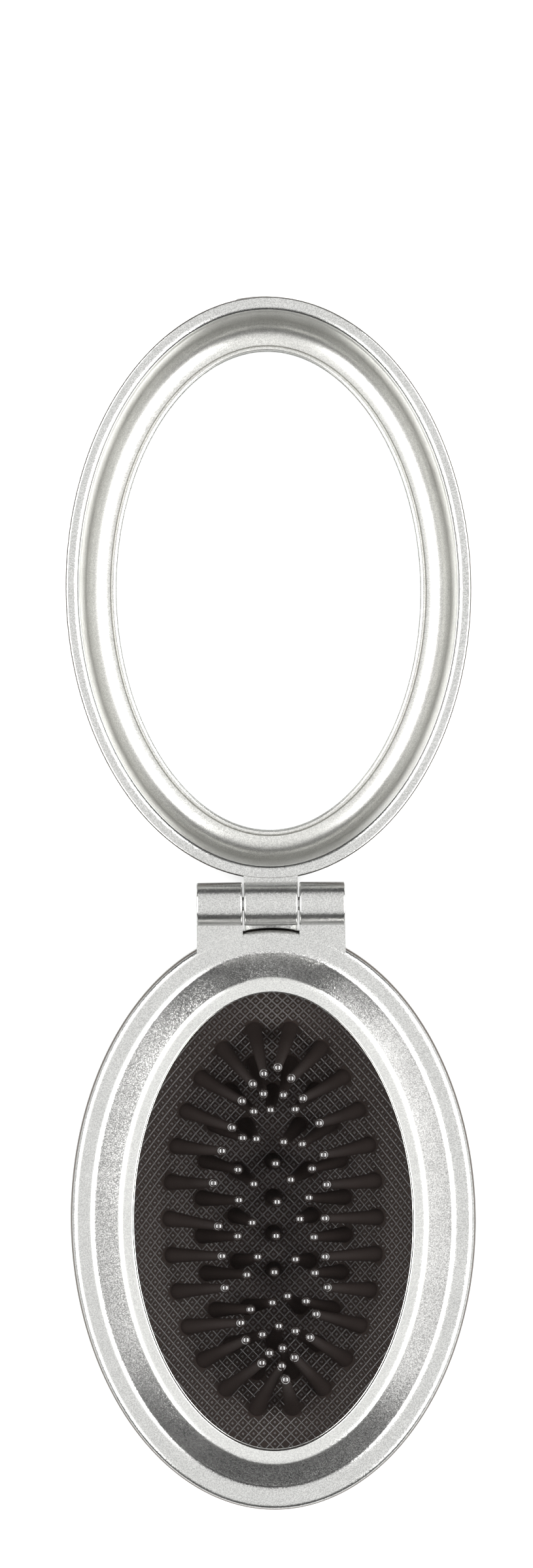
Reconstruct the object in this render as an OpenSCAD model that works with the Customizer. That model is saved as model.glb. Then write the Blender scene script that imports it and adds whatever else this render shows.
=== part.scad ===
// Folding pocket hairbrush with a mirror in its lid, lying opened flat on its two backs.
// X runs along the hinge, +Y is the mirror lid, -Y is the brush half, Z is up.
// The origin is under the middle of the hinge, on the surface that the backs rest on.
// Both halves are the same oval, drawn with four arcs, so every inset line runs parallel to it.

/* [Ovals] */
// Width of each half
half_w = 60; // [58:0.5:66]
// Length of each half
half_l = 86.2; // [84:0.2:96]
// Depth of each half, from its back to the plane where the halves meet
half_t = 14; // [13.9:0.1:16]
// Gap between the two ovals, which the hinge bridges
hinge_gap = 7.2; // [7:0.1:10]
// Gap between the two rims when the lid is shut
shut_gap = 0.2; // [0.1:0.05:0.4]

/* [Casings] */
// Thickness of the brush half's outer wall
wall = 1.6; // [1.2:0.1:2]
// Thickness of both backs
back_t = 1.5; // [1.2:0.1:1.8]
// Rounding between each back and its wall
back_round = 6; // [3:0.5:6.5]
// Width of the brush half's flat rim
rim_w = 3.3; // [2.9:0.1:3.8]
// Thickness of the brush half's rim
rim_t = 1.5; // [1:0.1:2.5]
// Rounding of the brush half's rim
rim_round = 1; // [0.4:0.1:1.2]
// Width of the lid's flat rim, which is its wall's thickness
lid_rim_w = 1.9; // [1.6:0.1:2.2]
// Rounding of the lid's rim
lid_round = 0.55; // [0.3:0.05:0.9]
// Inset of the thumb opening in the brush half's back
thumb_inset = 10.5; // [10:0.1:13]

/* [Raised bezel and pad ring] */
// Width of the bezel's slope
bezel_w = 3.75; // [3:0.05:4.5]
// Rise of the bezel's slope above the rim
bezel_rise = 2.4; // [1.8:0.1:2.8]
// Thickness of the bezel's walls
bezel_t = 1.4; // [1:0.1:1.6]
// How fast the slope flattens towards its top
bezel_power = 1.7; // [1.3:0.1:2.2]
// Width of the ring that clamps the rubber pad
ring_w = 2.3; // [2:0.1:3]
// Thickness of the ring
ring_t = 2; // [1.6:0.1:2.2]
// Height of the ring above the bezel
ring_proud = 0.4; // [0.2:0.05:0.6]
// Rounding of the ring's outer edge
ring_round = 0.35; // [0.15:0.05:0.5]
// Width of the ledge that the pad's flange lies on
ledge_w = 2.1; // [1.6:0.1:2.2]

/* [Rubber pad] */
// Thickness of the rubber
pad_t = 1.1; // [0.8:0.1:1.3]
// Depth of the pad's dish
pad_depth = 8.6; // [7.4:0.1:8.8]
// Width of the flat border that joins the dish to the flange
pad_border = 0.9; // [0.8:0.05:1.1]

/* [Pins] */
// Length of a pin above the rubber
pin_l = 12.5; // [10:0.1:12.8]
// Diameter of a pin at its root
pin_root_d = 2.3; // [2:0.1:2.5]
// Diameter of a pin under its ball
pin_neck_d = 1.25; // [1:0.05:1.4]
// Diameter of the ball tip
ball_d = 1.5; // [1.45:0.05:1.8]
// Diameter of the stem that passes through the rubber
stem_d = 1.5; // [1.2:0.1:1.8]
// Diameter of the head behind the rubber
head_d = 3; // [2.6:0.1:3.2]
// Thickness of the head
head_t = 0.6; // [0.4:0.05:0.8]
// Pins in the outer ring
outer_n = 26; // [22:2:28]
// Pins in the middle ring
middle_n = 20; // [16:2:22]
// Pins in the inner ring
inner_n = 12; // [8:2:14]
// Pins in the middle row
centre_n = 4; // [2:1:5]
// Distance between the pins of the middle row
centre_pitch = 5.4; // [5:0.1:6]
// Inset of the outer ring of pins from the pad's edge
outer_inset = 5.2; // [4.5:0.1:5.5]
// Inset of the middle ring of pins
middle_inset = 10; // [9.5:0.1:10.5]
// Inset of the inner ring of pins
inner_inset = 15; // [14.5:0.1:15.5]

/* [Mirror] */
// Depth of the mirror's face below the lid's rim
mirror_depth = 10.3; // [10.1:0.1:10.6]
// Thickness of the glass
glass_t = 1.6; // [1.2:0.1:1.8]
// Inset of the glass's edge from the lid's outline
glass_inset = 8.3; // [8:0.1:9]
// Gap between the glass and the lip round it
glass_gap = 0.5; // [0.3:0.05:0.7]
// Margin of the adhesive pad inside the glass
tape_margin = 2; // [1:0.5:4]

/* [Mirror frame] */
// Depth of the frame's top edge below the lid's rim
frame_drop = 0.4; // [0.2:0.05:0.8]
// Width of the frame's top edge
frame_edge_w = 0.55; // [0.4:0.05:0.8]
// Radius of the cove between the wall and the glass
cove_r = 3; // [2.4:0.1:3.4]
// Thickness of the frame
frame_t = 1.1; // [0.8:0.1:1.3]
// Width of the lip round the glass
lip_w = 0.5; // [0.4:0.05:0.7]
// Height of the lip above the glass
lip_h = 0.4; // [0.2:0.05:0.6]

/* [Hinge] */
// Width of the hinge
hinge_w = 22; // [18:0.5:26]
// Width of the lid's knuckle
lid_knuckle_w = 8; // [6:0.5:10]
// Gap beside the lid's knuckle
knuckle_gap = 0.2; // [0.1:0.05:0.4]
// Diameter of the knuckles
knuckle_d = 6.4; // [5:0.1:6.4]
// Diameter of the hinge pin
hinge_pin_d = 2; // [1.5:0.1:2.5]
// Radial clearance of the hinge pin in the lid's knuckle
hinge_fit = 0.05; // [0.02:0.01:0.1]
// Depth of each end of the hinge pin inside its knuckle
pin_sunk = 0.4; // [0.2:0.1:1]
// Height of the two heels that stop the lid when it lies flat
heel_h = 5; // [3:0.5:6]
// Gap between the heels when the lid lies flat
heel_gap = 0.3; // [0.3:0.05:0.5]

/* [Thumb ledge] */
// Distance of the ledge's crisp end from the lid's middle line
ledge_start = 4.2; // [3:0.1:6]
// Width of the ledge on the lid's outer edge
ledge_len = 10; // [6:0.5:12]
// How far the ledge stands out at its crisp end
ledge_out = 0.3; // [0.2:0.05:0.6]
// Height of the ledge
ledge_h = 2.6; // [1.5:0.1:4]

/* [Fits] */
// Gap between a moulding and the one that it drops into
fit = 0.05; // [0.02:0.01:0.1]
// Gap between the pad's flange and the bezel round it
flange_fit = 0.2; // [0.1:0.05:0.4]
// Gap between the rubber and a pin's root, and between the rubber and its head
pin_seat = 0.15; // [0.12:0.01:0.2]

/* [Hidden] */
$fn = 160;
pin_fn = 40;
arc_steps = 6;
slope_steps = 8;
ellipse_steps = 180;
// Rings and spokes of the pad's dish, and its rim as a share of the pad's edge
dish_rings = 7;
dish_spokes = 48;
dish_rim = 0.99;
// The oval is built on four 3-4-5 triangles of step arc_k: end arcs of radius end_r about (0, end_y)
// and (0, -end_y), side arcs of radius side_r about (-side_x, 0) and (side_x, 0)
arc_k = round(250 * (half_l - half_w)) / 1000;
semi_w = half_w / 2;
semi_l = semi_w + 2 * arc_k;
end_r = semi_w - arc_k;
end_y = 3 * arc_k;
side_r = end_r + 5 * arc_k;
side_x = 4 * arc_k;
// Places of the two halves and heights in each
half_y = hinge_gap / 2 + semi_l;
rim_z = half_t - shut_gap / 2;
// The raised bezel, the ring and the pad's edge
bezel_in = rim_w + bezel_w;
pad_edge = bezel_in + ring_w;
bezel_z = rim_z + bezel_rise;
ring_top = bezel_z + ring_proud;
pad_z = ring_top - ring_t;
shelf_z = pad_z - pad_t;
pad_semi_w = semi_w - pad_edge;
pad_semi_l = semi_l - pad_edge;
// Mirror heights
glass_z = rim_z - mirror_depth;
tape_z = glass_z - glass_t;
frame_z = rim_z - frame_drop;
frame_in = lid_rim_w + fit;
lip_in = glass_inset - glass_gap;
cove_x = lip_in - lip_w;
cove_z = glass_z + cove_r + lip_h / 2;
// Hinge
knuckle_r = knuckle_d / 2;
bite = 8;
heel_top = half_t - knuckle_r - heel_gap;

silver = [0.75, 0.76, 0.77];
rubber = [0.12, 0.11, 0.1];

// Points of a round corner: centre, radius, first and last angle
function corner(c, r, a0, a1) =
    [for (i = [0:arc_steps]) let (a = a0 + (a1 - a0) * i / arc_steps) c + r * [cos(a), sin(a)]];

// Height of the pad's top at a point, and the upward normal there
function pad_height(p) =
    pad_z - pad_depth * (1 - pow(p[0] / pad_semi_w, 2) - pow(p[1] / pad_semi_l, 2));
function pad_normal(p) =
    let (n = [-2 * pad_depth * p[0] / pow(pad_semi_w, 2), -2 * pad_depth * p[1] / pow(pad_semi_l, 2), 1])
    n / norm(n);

// Points spaced evenly round an ellipse that starts at its +Y end, shifted by a share of the spacing
function ellipse_point(a, b, t) = [a * sin(t), b * cos(t)];
function ellipse_table(a, b) =
    [for (i = 0, s = 0, p = ellipse_point(a, b, 0);
        i <= ellipse_steps;
        i = i + 1,
        q = ellipse_point(a, b, i * 360 / ellipse_steps),
        s = s + norm(q - p),
        p = q)
        [s, i * 360 / ellipse_steps]];
function ring_points(inset, n, shift) =
    let (a = pad_semi_w - inset, b = pad_semi_l - inset, table = ellipse_table(a, b),
        whole = table[ellipse_steps][0])
    [for (k = [0:n - 1]) ellipse_point(a, b, lookup((k + shift) / n * whole, table))];

outer_points = ring_points(outer_inset, outer_n, 0.5);
middle_points = ring_points(middle_inset, middle_n, 0.5);
inner_points = ring_points(inner_inset, inner_n, 0);
centre_points = [for (k = [0:centre_n - 1]) [0, (k - (centre_n - 1) / 2) * centre_pitch]];

function left_of(points) = [for (p = points) if (p[0] < -0.01) p];
function right_of(points) = [for (p = points) if (p[0] > 0.01) p];
function on_axis(points) = [for (p = points) if (abs(p[0]) <= 0.01) p];

// A turned ring about the origin, cut to the wedge between two of the triangles' long sides
module arc_piece(radius, section, wedge) {
    intersection() {
        rotate([0, 0, 180]) rotate_extrude() polygon([for (p = section) [radius - p[0], p[1]]]);
        translate([0, 0, -half_t]) linear_extrude(4 * half_t)
            polygon([[0, 0], half_l * wedge[0], half_l * wedge[1]]);
    }
}

// A section of [inset, height] points run round the oval
module oval_sweep(section) {
    tidy = [for (p = section) [round(1000 * p[0]) / 1000, round(1000 * p[1]) / 1000]];
    for (s = [0, 180]) rotate([0, 0, s]) {
        translate([0, end_y, 0]) arc_piece(end_r, tidy, [[4, 3], [-4, 3]]);
        translate([-side_x, 0, 0]) arc_piece(side_r, tidy, [[4, -3], [4, 3]]);
    }
}

// The area inside the oval, drawn in by an inset
module oval_area(inset) {
    meet_y = end_y + 0.6 * (end_r - inset);
    intersection() {
        translate([-side_x, 0]) circle(side_r - inset);
        translate([side_x, 0]) circle(side_r - inset);
        square([half_w, 2 * meet_y], center = true);
    }
    for (s = [0, 180]) rotate(s)
        intersection() {
            translate([0, end_y]) circle(end_r - inset);
            translate([-semi_w, meet_y]) square([half_w, semi_l]);
        }
}

module oval_plate(inset, z0, z1) {
    translate([0, 0, z0]) linear_extrude(z1 - z0) oval_area(inset);
}

// Places what is drawn about one oval's centre
module brush_half() {
    translate([0, -half_y, 0]) children();
}
module lid_half() {
    translate([0, half_y, 0]) children();
}

// A knuckle with its lug, running from x0 to x1 and back to the oval at +Y
module knuckle(x0, x1) {
    translate([x0, 0, half_t]) rotate([0, 90, 0]) cylinder(r = knuckle_r, h = x1 - x0);
    translate([x0, 0, half_t - knuckle_r]) cube([x1 - x0, hinge_gap / 2 + bite, rim_z - half_t + knuckle_r]);
}

// A heel under the lid's knuckle, on the +Y side
module heel() {
    translate([-lid_knuckle_w / 2, heel_gap / 2, heel_top - heel_h])
        cube([lid_knuckle_w, hinge_gap / 2 + bite, heel_h]);
}

module hinge_bore(r) {
    translate([-hinge_w, 0, half_t]) rotate([0, 90, 0]) cylinder(r = r, h = 2 * hinge_w);
}

module base_shell() {
    knuckle_x = lid_knuckle_w / 2 + knuckle_gap;
    color(silver) difference() {
        union() {
            brush_half() oval_sweep(concat(
                corner([back_round, back_round], back_round, 270, 180),
                corner([rim_round, rim_z - rim_round], rim_round, 180, 90),
                [[rim_w, rim_z], [rim_w, rim_z - rim_t], [wall, rim_z - rim_t], [wall, back_round],
                    [back_round, back_t], [thumb_inset, back_t], [thumb_inset, 0]]));
            difference() {
                mirror([0, 1, 0]) {
                    knuckle(knuckle_x, hinge_w / 2);
                    knuckle(-hinge_w / 2, -knuckle_x);
                    heel();
                }
                brush_half() oval_plate(wall / 2, 0, half_t);
            }
        }
        hinge_bore(hinge_pin_d / 2);
    }
}

module brush_bezel() {
    slope = [for (i = [0:slope_steps]) let (t = i / slope_steps)
        [rim_w + fit + (bezel_w - fit) * t, rim_z + bezel_rise * (1 - pow(1 - t, bezel_power))]];
    foot_in = bezel_in + ledge_w;
    under = shelf_z - bezel_t;
    color(silver) brush_half() oval_sweep(concat(
        [[rim_w + fit, back_round]], slope,
        [[bezel_in, shelf_z], [foot_in, shelf_z], [foot_in, back_t], [foot_in - bezel_t, back_t],
            [foot_in - bezel_t, under], [rim_w + fit + bezel_t, under],
            [rim_w + fit + bezel_t, back_round]]));
}

module pad_ring() {
    outer = bezel_in + fit;
    color(silver) brush_half() oval_sweep(concat(
        [[outer, pad_z]],
        corner([outer + ring_round, ring_top - ring_round], ring_round, 180, 90),
        corner([pad_edge - ring_round / 2, ring_top - ring_round / 2], ring_round / 2, 90, 0),
        [[pad_edge, pad_z]]));
}

// Corners of the dish, on its top (side 0) or its underside (side 1), ring by ring from the middle
dish_side = 1 + dish_rings * dish_spokes;
function dish_corner(side, ring, spoke) =
    side * dish_side + (ring == 0 ? 0 : 1 + (ring - 1) * dish_spokes + spoke % dish_spokes);
function dish_points(drop) = concat([[0, 0, pad_height([0, 0]) - drop]],
    [for (ring = [1:dish_rings], spoke = [0:dish_spokes - 1])
        let (u = dish_rim * ring / dish_rings, a = spoke * 360 / dish_spokes,
            p = [u * pad_semi_w * cos(a), u * pad_semi_l * sin(a)])
        [p[0], p[1], pad_height(p) - drop]]);

module pad_dish() {
    last = dish_rings;
    polyhedron(
        points = concat(dish_points(0), dish_points(pad_t)),
        faces = [for (k = [0:dish_spokes - 1]) each concat(
            [[dish_corner(0, 0, 0), dish_corner(0, 1, k + 1), dish_corner(0, 1, k)],
                [dish_corner(1, 0, 0), dish_corner(1, 1, k), dish_corner(1, 1, k + 1)],
                [dish_corner(0, last, k), dish_corner(0, last, k + 1), dish_corner(1, last, k)],
                [dish_corner(0, last, k + 1), dish_corner(1, last, k + 1), dish_corner(1, last, k)]],
            [for (r = [1:last - 1]) each [
                [dish_corner(0, r, k), dish_corner(0, r, k + 1), dish_corner(0, r + 1, k)],
                [dish_corner(0, r, k + 1), dish_corner(0, r + 1, k + 1), dish_corner(0, r + 1, k)],
                [dish_corner(1, r, k), dish_corner(1, r + 1, k), dish_corner(1, r, k + 1)],
                [dish_corner(1, r, k + 1), dish_corner(1, r + 1, k), dish_corner(1, r + 1, k + 1)]]])],
        convexity = 4);
}

// Stands what is drawn along Z on the pad's top at a point, square to the rubber
module on_pad(p) {
    n = pad_normal(p);
    translate([p[0], p[1], pad_height(p)])
        rotate([0, acos(n[2]), atan2(n[1], n[0])]) children();
}

module rubber_pad() {
    flange_in = bezel_in + fit + flange_fit;
    border_in = pad_edge + pad_border;
    color(rubber) brush_half() difference() {
        union() {
            pad_dish();
            oval_sweep([[flange_in, shelf_z], [flange_in, pad_z], [border_in, pad_z], [border_in, shelf_z]]);
        }
        for (p = concat(outer_points, middle_points, inner_points, centre_points)) on_pad(p)
            translate([0, 0, -2 * pad_t]) cylinder(d = stem_d, h = 3 * pad_t, $fn = pin_fn);
    }
}

module pin() {
    ball_z = pin_seat + pin_l - ball_d / 2;
    rotate_extrude($fn = pin_fn) intersection() {
        union() {
            polygon([[0, -pad_t - pin_seat - head_t], [head_d / 2, -pad_t - pin_seat - head_t],
                [head_d / 2, -pad_t - pin_seat], [stem_d / 2, -pad_t - pin_seat],
                [stem_d / 2, pin_seat], [pin_root_d / 2, pin_seat],
                [pin_neck_d / 2, ball_z], [0, ball_z]]);
            translate([0, ball_z]) circle(d = ball_d);
        }
        translate([0, -half_t]) square([half_t, 3 * half_t]);
    }
}

module pins(points) {
    color(rubber) brush_half() for (p = points) on_pad(p) pin();
}

// The ledge on the lid's outer edge: a wider circle that stands out most at the crisp end
module thumb_ledge() {
    crisp_a = 90 + asin(ledge_start / end_r);
    fade_a = crisp_a - 32;
    shift = ledge_out / (1 - cos(crisp_a - fade_a));
    intersection() {
        translate([-shift * cos(fade_a), end_y - shift * sin(fade_a), rim_z - lid_round - ledge_h])
            cylinder(r = end_r + shift, h = ledge_h);
        translate([-ledge_start, semi_l - lid_rim_w, 0]) cube([ledge_len, 2 * lid_rim_w, half_t]);
    }
}

module lid_shell() {
    plate_in = back_round + 0.5;
    color(silver) difference() {
        union() {
            lid_half() {
                oval_sweep(concat(
                    corner([back_round, back_round], back_round, 270, 180),
                    corner([lid_round, rim_z - lid_round], lid_round, 180, 90),
                    [[lid_rim_w, rim_z], [lid_rim_w, back_round], [back_round, back_t],
                        [plate_in + 0.5, back_t], [plate_in + 0.5, 0]]));
                oval_plate(plate_in, 0, back_t);
                thumb_ledge();
            }
            difference() {
                union() {
                    knuckle(-lid_knuckle_w / 2, lid_knuckle_w / 2);
                    heel();
                }
                lid_half() oval_plate(lid_rim_w / 2, 0, half_t);
            }
        }
        hinge_bore(hinge_pin_d / 2 + hinge_fit);
    }
}

module mirror_frame() {
    color(silver) lid_half() oval_sweep(concat(
        [[frame_in, frame_z], [frame_in + frame_edge_w, frame_z]],
        corner([cove_x, cove_z], cove_r, 180, 270),
        corner([cove_x + lip_w / 2, glass_z + lip_h], lip_w / 2, 180, 0),
        [[lip_in, back_t], [cove_x - frame_t / 2, back_t]],
        corner([cove_x, cove_z], cove_r + frame_t, 250, 180),
        [[frame_in, frame_z - frame_t]]));
}

module mirror_tape() {
    color([0.9, 0.9, 0.88]) lid_half() oval_plate(glass_inset + tape_margin, back_t, tape_z);
}

module mirror_glass() {
    color([0.85, 0.9, 0.92]) lid_half() oval_plate(glass_inset, tape_z, glass_z);
}

module hinge_pin() {
    long = hinge_w - 2 * pin_sunk;
    color([0.6, 0.6, 0.62]) translate([-long / 2, 0, half_t]) rotate([0, 90, 0])
        cylinder(d = hinge_pin_d, h = long);
}

base_shell();
brush_bezel();
pad_ring();
rubber_pad();
pins(left_of(outer_points));  // outer_pins_left
pins(right_of(outer_points));  // outer_pins_right
pins(left_of(middle_points));  // middle_pins_left
pins(right_of(middle_points));  // middle_pins_right
pins(left_of(inner_points));  // inner_pins_left
pins(right_of(inner_points));  // inner_pins_right
pins(on_axis(inner_points));  // inner_pins_ends
pins(centre_points);  // centre_pins
lid_shell();
mirror_frame();
mirror_tape();
mirror_glass();
hinge_pin();
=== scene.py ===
# %% [markdown]
# # A folding pocket hairbrush with a mirror
# The brush lies opened flat. One half is an oval case with a sunken rubber pad and 62 pins, the
# other is an oval lid with a mirror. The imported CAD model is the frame: it says where every piece
# is and how the lid turns. This script gives the pieces their visible surfaces.

# %% Load the frame
import math
import bpy
import numpy as np
from mathutils import Matrix, Vector


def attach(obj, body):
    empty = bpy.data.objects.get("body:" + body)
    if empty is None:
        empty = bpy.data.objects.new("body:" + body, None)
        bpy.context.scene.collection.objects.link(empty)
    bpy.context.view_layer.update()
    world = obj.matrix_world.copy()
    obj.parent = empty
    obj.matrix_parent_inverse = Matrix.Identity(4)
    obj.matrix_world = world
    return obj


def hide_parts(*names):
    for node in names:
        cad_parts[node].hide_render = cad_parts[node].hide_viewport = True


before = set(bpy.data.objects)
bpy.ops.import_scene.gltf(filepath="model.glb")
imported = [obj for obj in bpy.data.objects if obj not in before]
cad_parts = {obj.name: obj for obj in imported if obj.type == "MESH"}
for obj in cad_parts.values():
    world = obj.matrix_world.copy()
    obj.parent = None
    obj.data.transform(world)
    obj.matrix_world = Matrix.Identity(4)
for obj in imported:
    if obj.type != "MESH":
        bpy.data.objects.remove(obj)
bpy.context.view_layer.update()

# %% [markdown]
# All sizes are in millimetres, as a maker would read them off the object, and the mesh helper
# turns them into metres. Each half is an ellipse seen from above, and every band on it keeps a
# steady distance from that ellipse. So one curve and a list of insets describe most surfaces.

# %% Sizes of the two halves
HALF_W, HALF_L = 30.0, 43.1      # half width and half length of one half
BRUSH_Y, LID_Y = -46.7, 46.7     # the middles of the two halves
RIM_Z = 13.9                     # height of the flat rims
AROUND = 288                     # points round one oval
TURN = np.linspace(0.0, 2.0 * np.pi, AROUND, endpoint=False)

print(f"each half is {2 * HALF_W:.1f} x {2 * HALF_L:.1f} mm, with {AROUND} points round it")

# %% [markdown]
# A mesh could be shaped by hand or with modifiers. Here every surface is worked out as whole
# arrays of points, because a formula is easy to check and to change. The first two helpers number
# the faces of a grid of points and close its ends.

# %% Faces of a grid
def quads(rows, cols, wrap_rows=False):
    """Faces of a grid whose points are numbered row by row. The columns always join up in a ring,
    the rows only if asked."""
    r = np.arange(rows if wrap_rows else rows - 1)[:, None]
    c = np.arange(cols)[None, :]
    up, on = (r + 1) % rows, (c + 1) % cols
    corners = [r * cols + c, r * cols + on, up * cols + on, up * cols + c]
    return np.stack(corners, -1).reshape(-1, 4)


def end_fans(rows, cols):
    """Triangles that close the first and the last ring of such a grid. Their poles are the two
    points numbered next after the grid's own."""
    c = np.arange(cols)
    on, last = (c + 1) % cols, (rows - 1) * cols
    first_pole, last_pole = np.full(cols, rows * cols), np.full(cols, rows * cols + 1)
    return [np.stack([first_pole, on, c], -1), np.stack([last_pole, last + c, last + on], -1)]

# %% [markdown]
# A face has an outside and an inside, and it is easy to get them the wrong way round. The volume
# of a closed shape is negative when its faces look inwards, so its sign says when to turn them
# over. Every piece of this object is closed, so one helper can do this for all of them.

# %% A helper that turns arrays into a piece
def signed_volume(points, faces):
    """The volume inside closed faces: each polygon is a fan from its first corner, and a sixth of
    the triple product of each triangle's corners is added up."""
    total = 0.0
    for face in faces:
        for k in range(1, face.shape[1] - 1):
            a, b, c = points[face[:, 0]], points[face[:, k]], points[face[:, k + 1]]
            total += float(np.einsum("ij,ij->", a, np.cross(b, c)))
    return total / 6.0


def make_piece(name, points, faces, body, slot, sharp=32.0):
    """A mesh from points in millimetres and a list of face arrays, turned so that its faces look
    outwards, shaded smooth except across edges sharper than the given angle in degrees."""
    points = np.asarray(points, float).reshape(-1, 3)
    faces = [np.asarray(f, int) for f in faces]
    if signed_volume(points, faces) < 0:
        faces = [f[:, ::-1] for f in faces]
    mesh = bpy.data.meshes.new(name)
    mesh.from_pydata((points / 1000.0).tolist(), [], [row for f in faces for row in f.tolist()])
    mesh.update()
    mesh.polygons.foreach_set("use_smooth", np.ones(len(mesh.polygons), bool))
    if sharp is not None:
        mesh.set_sharp_from_angle(angle=math.radians(sharp))
    piece = bpy.data.objects.new(name, mesh)
    bpy.context.scene.collection.objects.link(piece)
    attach(piece, body)
    triangles = sum(len(f) * (f.shape[1] - 2) for f in faces)
    print(f"{name}: {len(mesh.vertices)} points, {triangles} triangles")
    return piece

# %% [markdown]
# A moulded oval part is a section carried round the oval, as a lathe carries one round an axis.
# A section is a list of stations (inset, height). Small arcs between the stations are the
# fillets that catch the light, and they are most of what the eye reads as a moulded edge.

# %% Helpers that carry a section round the oval
def outline(inset):
    """The curve inside the oval at a steady distance: a point of the ellipse, less the inset
    times the ellipse's outward normal there."""
    x, y = HALF_W * np.sin(TURN), HALF_L * np.cos(TURN)
    nx, ny = x / HALF_W**2, y / HALF_L**2
    size = np.hypot(nx, ny)
    inset = np.asarray(inset, float)[..., None]
    return x - inset * nx / size, y - inset * ny / size


def arc(inset, height, radius, first, last, steps=6):
    """Stations of a round corner: its centre, plus the radius times the cosine and sine of an
    angle that goes from the first to the last, in degrees."""
    a = np.radians(np.linspace(first, last, steps + 1))
    return [(inset + radius * math.cos(t), height + radius * math.sin(t)) for t in a]


def steady(section, closed=True, reach=0.05):
    """Adds a station close to both ends of each long stretch, so that smooth shading stays
    within the fillets and a flat band stays flat."""
    out = []
    last = len(section) if closed else len(section) - 1
    for i in range(last):
        a, b = np.array(section[i], float), np.array(section[(i + 1) % len(section)], float)
        step = np.linalg.norm(b - a)
        out.append(tuple(a))
        if step > 8 * reach:
            out += [tuple(a + (b - a) * reach / step), tuple(b - (b - a) * reach / step)]
    return out if closed else out + [tuple(section[-1])]


def run_round(section, middle_y, closed=True, poles=False):
    """Points and faces of a section carried round an oval whose middle is at middle_y: each
    station's inset gives its curve on the plan, and its height stays. With poles, the section's
    two ends close in a point at the middle."""
    s = np.array(steady(section, closed))
    x, y = outline(s[:, 0])
    points = np.stack([x, y + middle_y, np.broadcast_to(s[:, 1:2], x.shape)], -1).reshape(-1, 3)
    faces = [quads(len(s), AROUND, wrap_rows=closed)]
    if poles:
        points = np.vstack([points, [[0, middle_y, s[0, 1]], [0, middle_y, s[-1, 1]]]])
        faces += end_fans(len(s), AROUND)
    return points, faces

# %% [markdown]
# The outermost edge of each casing shows as a fine dark line, and that line is painted shade.
# It could be painted with a texture. A mark on the mesh's own points is simpler, and the
# lacquer's material turns dark brown where it reads the mark.

# %% The mark for the painted shade on the outer edge
EDGE_DROP = 1.3                  # how far below the rim the mark starts


def painted_shade_edge(piece, section, reach, closed=True):
    """A mark of 1 on the strip of painted shade and 0 elsewhere: a step down from the reach inwards,
    faded over 0.1 mm, times a step up from the drop below the rim, faded over 0.2 mm."""
    s = np.array(steady(section, closed))
    sideways = np.clip((reach - s[:, 0]) / 0.1, 0, 1)
    upwards = np.clip((s[:, 1] - RIM_Z + EDGE_DROP) / 0.2, 0, 1)
    poles = len(piece.data.vertices) - len(s) * AROUND
    mark = np.r_[np.repeat(sideways * upwards, AROUND), np.zeros(poles)]
    piece.data.attributes.new("edge", "FLOAT", "POINT").data.foreach_set("value", mark)
    print(f"{piece.name}: {int((mark > 0).sum())} points marked as thin edge")

# %% [markdown]
# The brush half's casing is one moulded shell: a round-edged tray whose back has a large oval
# opening for the thumb, a wall, and a flat rim that turns up a little where the bezel starts. Its
# section goes from the opening up the outside, over the rim and down the inside.

# %% The brush half's casing
casing = (arc(10.0, 0.5, 0.5, 0, -90)                        # lower edge of the thumb opening
          + arc(6, 6, 6, 270, 180, 16)                       # outer corner
          + arc(1.2, RIM_Z - 1.2, 1.2, 180, 90, 12)          # outer edge of the rim
          + arc(2.75, RIM_Z + 1.8, 1.8, 270, 288.9, 6)       # the turn up to the bezel
          + [(3.332, 12.4), (1.6, 12.4)]                     # under the rim
          + arc(6, 5.9, 4.4, 180, 270, 8)                    # inner corner
          + arc(10.0, 1.0, 0.5, 90, 0))                      # upper edge of the opening
brush_casing = make_piece("brush_casing", *run_round(casing, BRUSH_Y), "brush_half", "silver")
# painted shade along the brush casing's outermost edge
painted_shade_edge(brush_casing, casing, 0.36)

# %% [markdown]
# The bezel is a separate ring in the casing. It carries on from the rim with a small hollow and
# climbs inwards in one broad band, the widest silver surface of the brush half. The band bulges
# very slightly, which spreads the light on it as on the real one.

# %% The bezel
SLOPE_OUT, SLOPE_IN = 3.76, 7.03          # insets of the band's outer and inner edge
SLOPE_LOW, SLOPE_HIGH = 14.215, 16.46     # heights of the same edges


def slope_height(inset):
    """Height of the sloping band: an even climb over the way across, plus a twentieth of the
    climb times the way and the way left."""
    way = (inset - SLOPE_OUT) / (SLOPE_IN - SLOPE_OUT)
    return SLOPE_LOW + (SLOPE_HIGH - SLOPE_LOW) * (way + 0.05 * way * (1 - way))


slope = [(i, float(slope_height(i))) for i in np.linspace(3.82, SLOPE_IN, 14)]
bezel = ([(3.336, 6.0)]                                      # foot of the outer leg
         + arc(2.75, RIM_Z + 1.8, 1.8, 288.9, 304.5, 5)      # hollow next to the rim
         + slope
         + [(SLOPE_IN, 13.6), (9.25, 13.6)]                  # step that the ring and pad lie on
         + [(9.25, 1.5), (7.75, 1.5)]                        # inner leg down to the casing's back
         + [(7.75, 12.2), (4.74, 12.2), (4.74, 6.0)])        # underside
sloping_bezel = make_piece("sloping_bezel", *run_round(bezel, BRUSH_Y), "brush_half", "silver")

# %% [markdown]
# The ring inside the bezel clamps the rubber's edge. It has a broad rounded shoulder and a small
# tight edge over the rubber. Each makes a white line in the photograph, a wide one and a thin one.

# %% The ring round the pad
PAD_Z = 14.7                     # height of the rubber's edge

ring = ([(7.034, PAD_Z)]
        + arc(8.05, 15.03, 1.75, 125.5, 90, 10)              # rounded shoulder
        + arc(9.13, 16.53, 0.25, 90, 15, 5)                  # edge over the rubber
        + [(9.38, 16.1), (9.40, 15.5)]
        + arc(9.38, 15.42, 0.07, 90, 0, 2)                   # small bead at the foot
        + [(9.45, PAD_Z)])
clamping_ring = make_piece("clamping_ring", *run_round(ring, BRUSH_Y), "brush_half", "silver")

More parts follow.
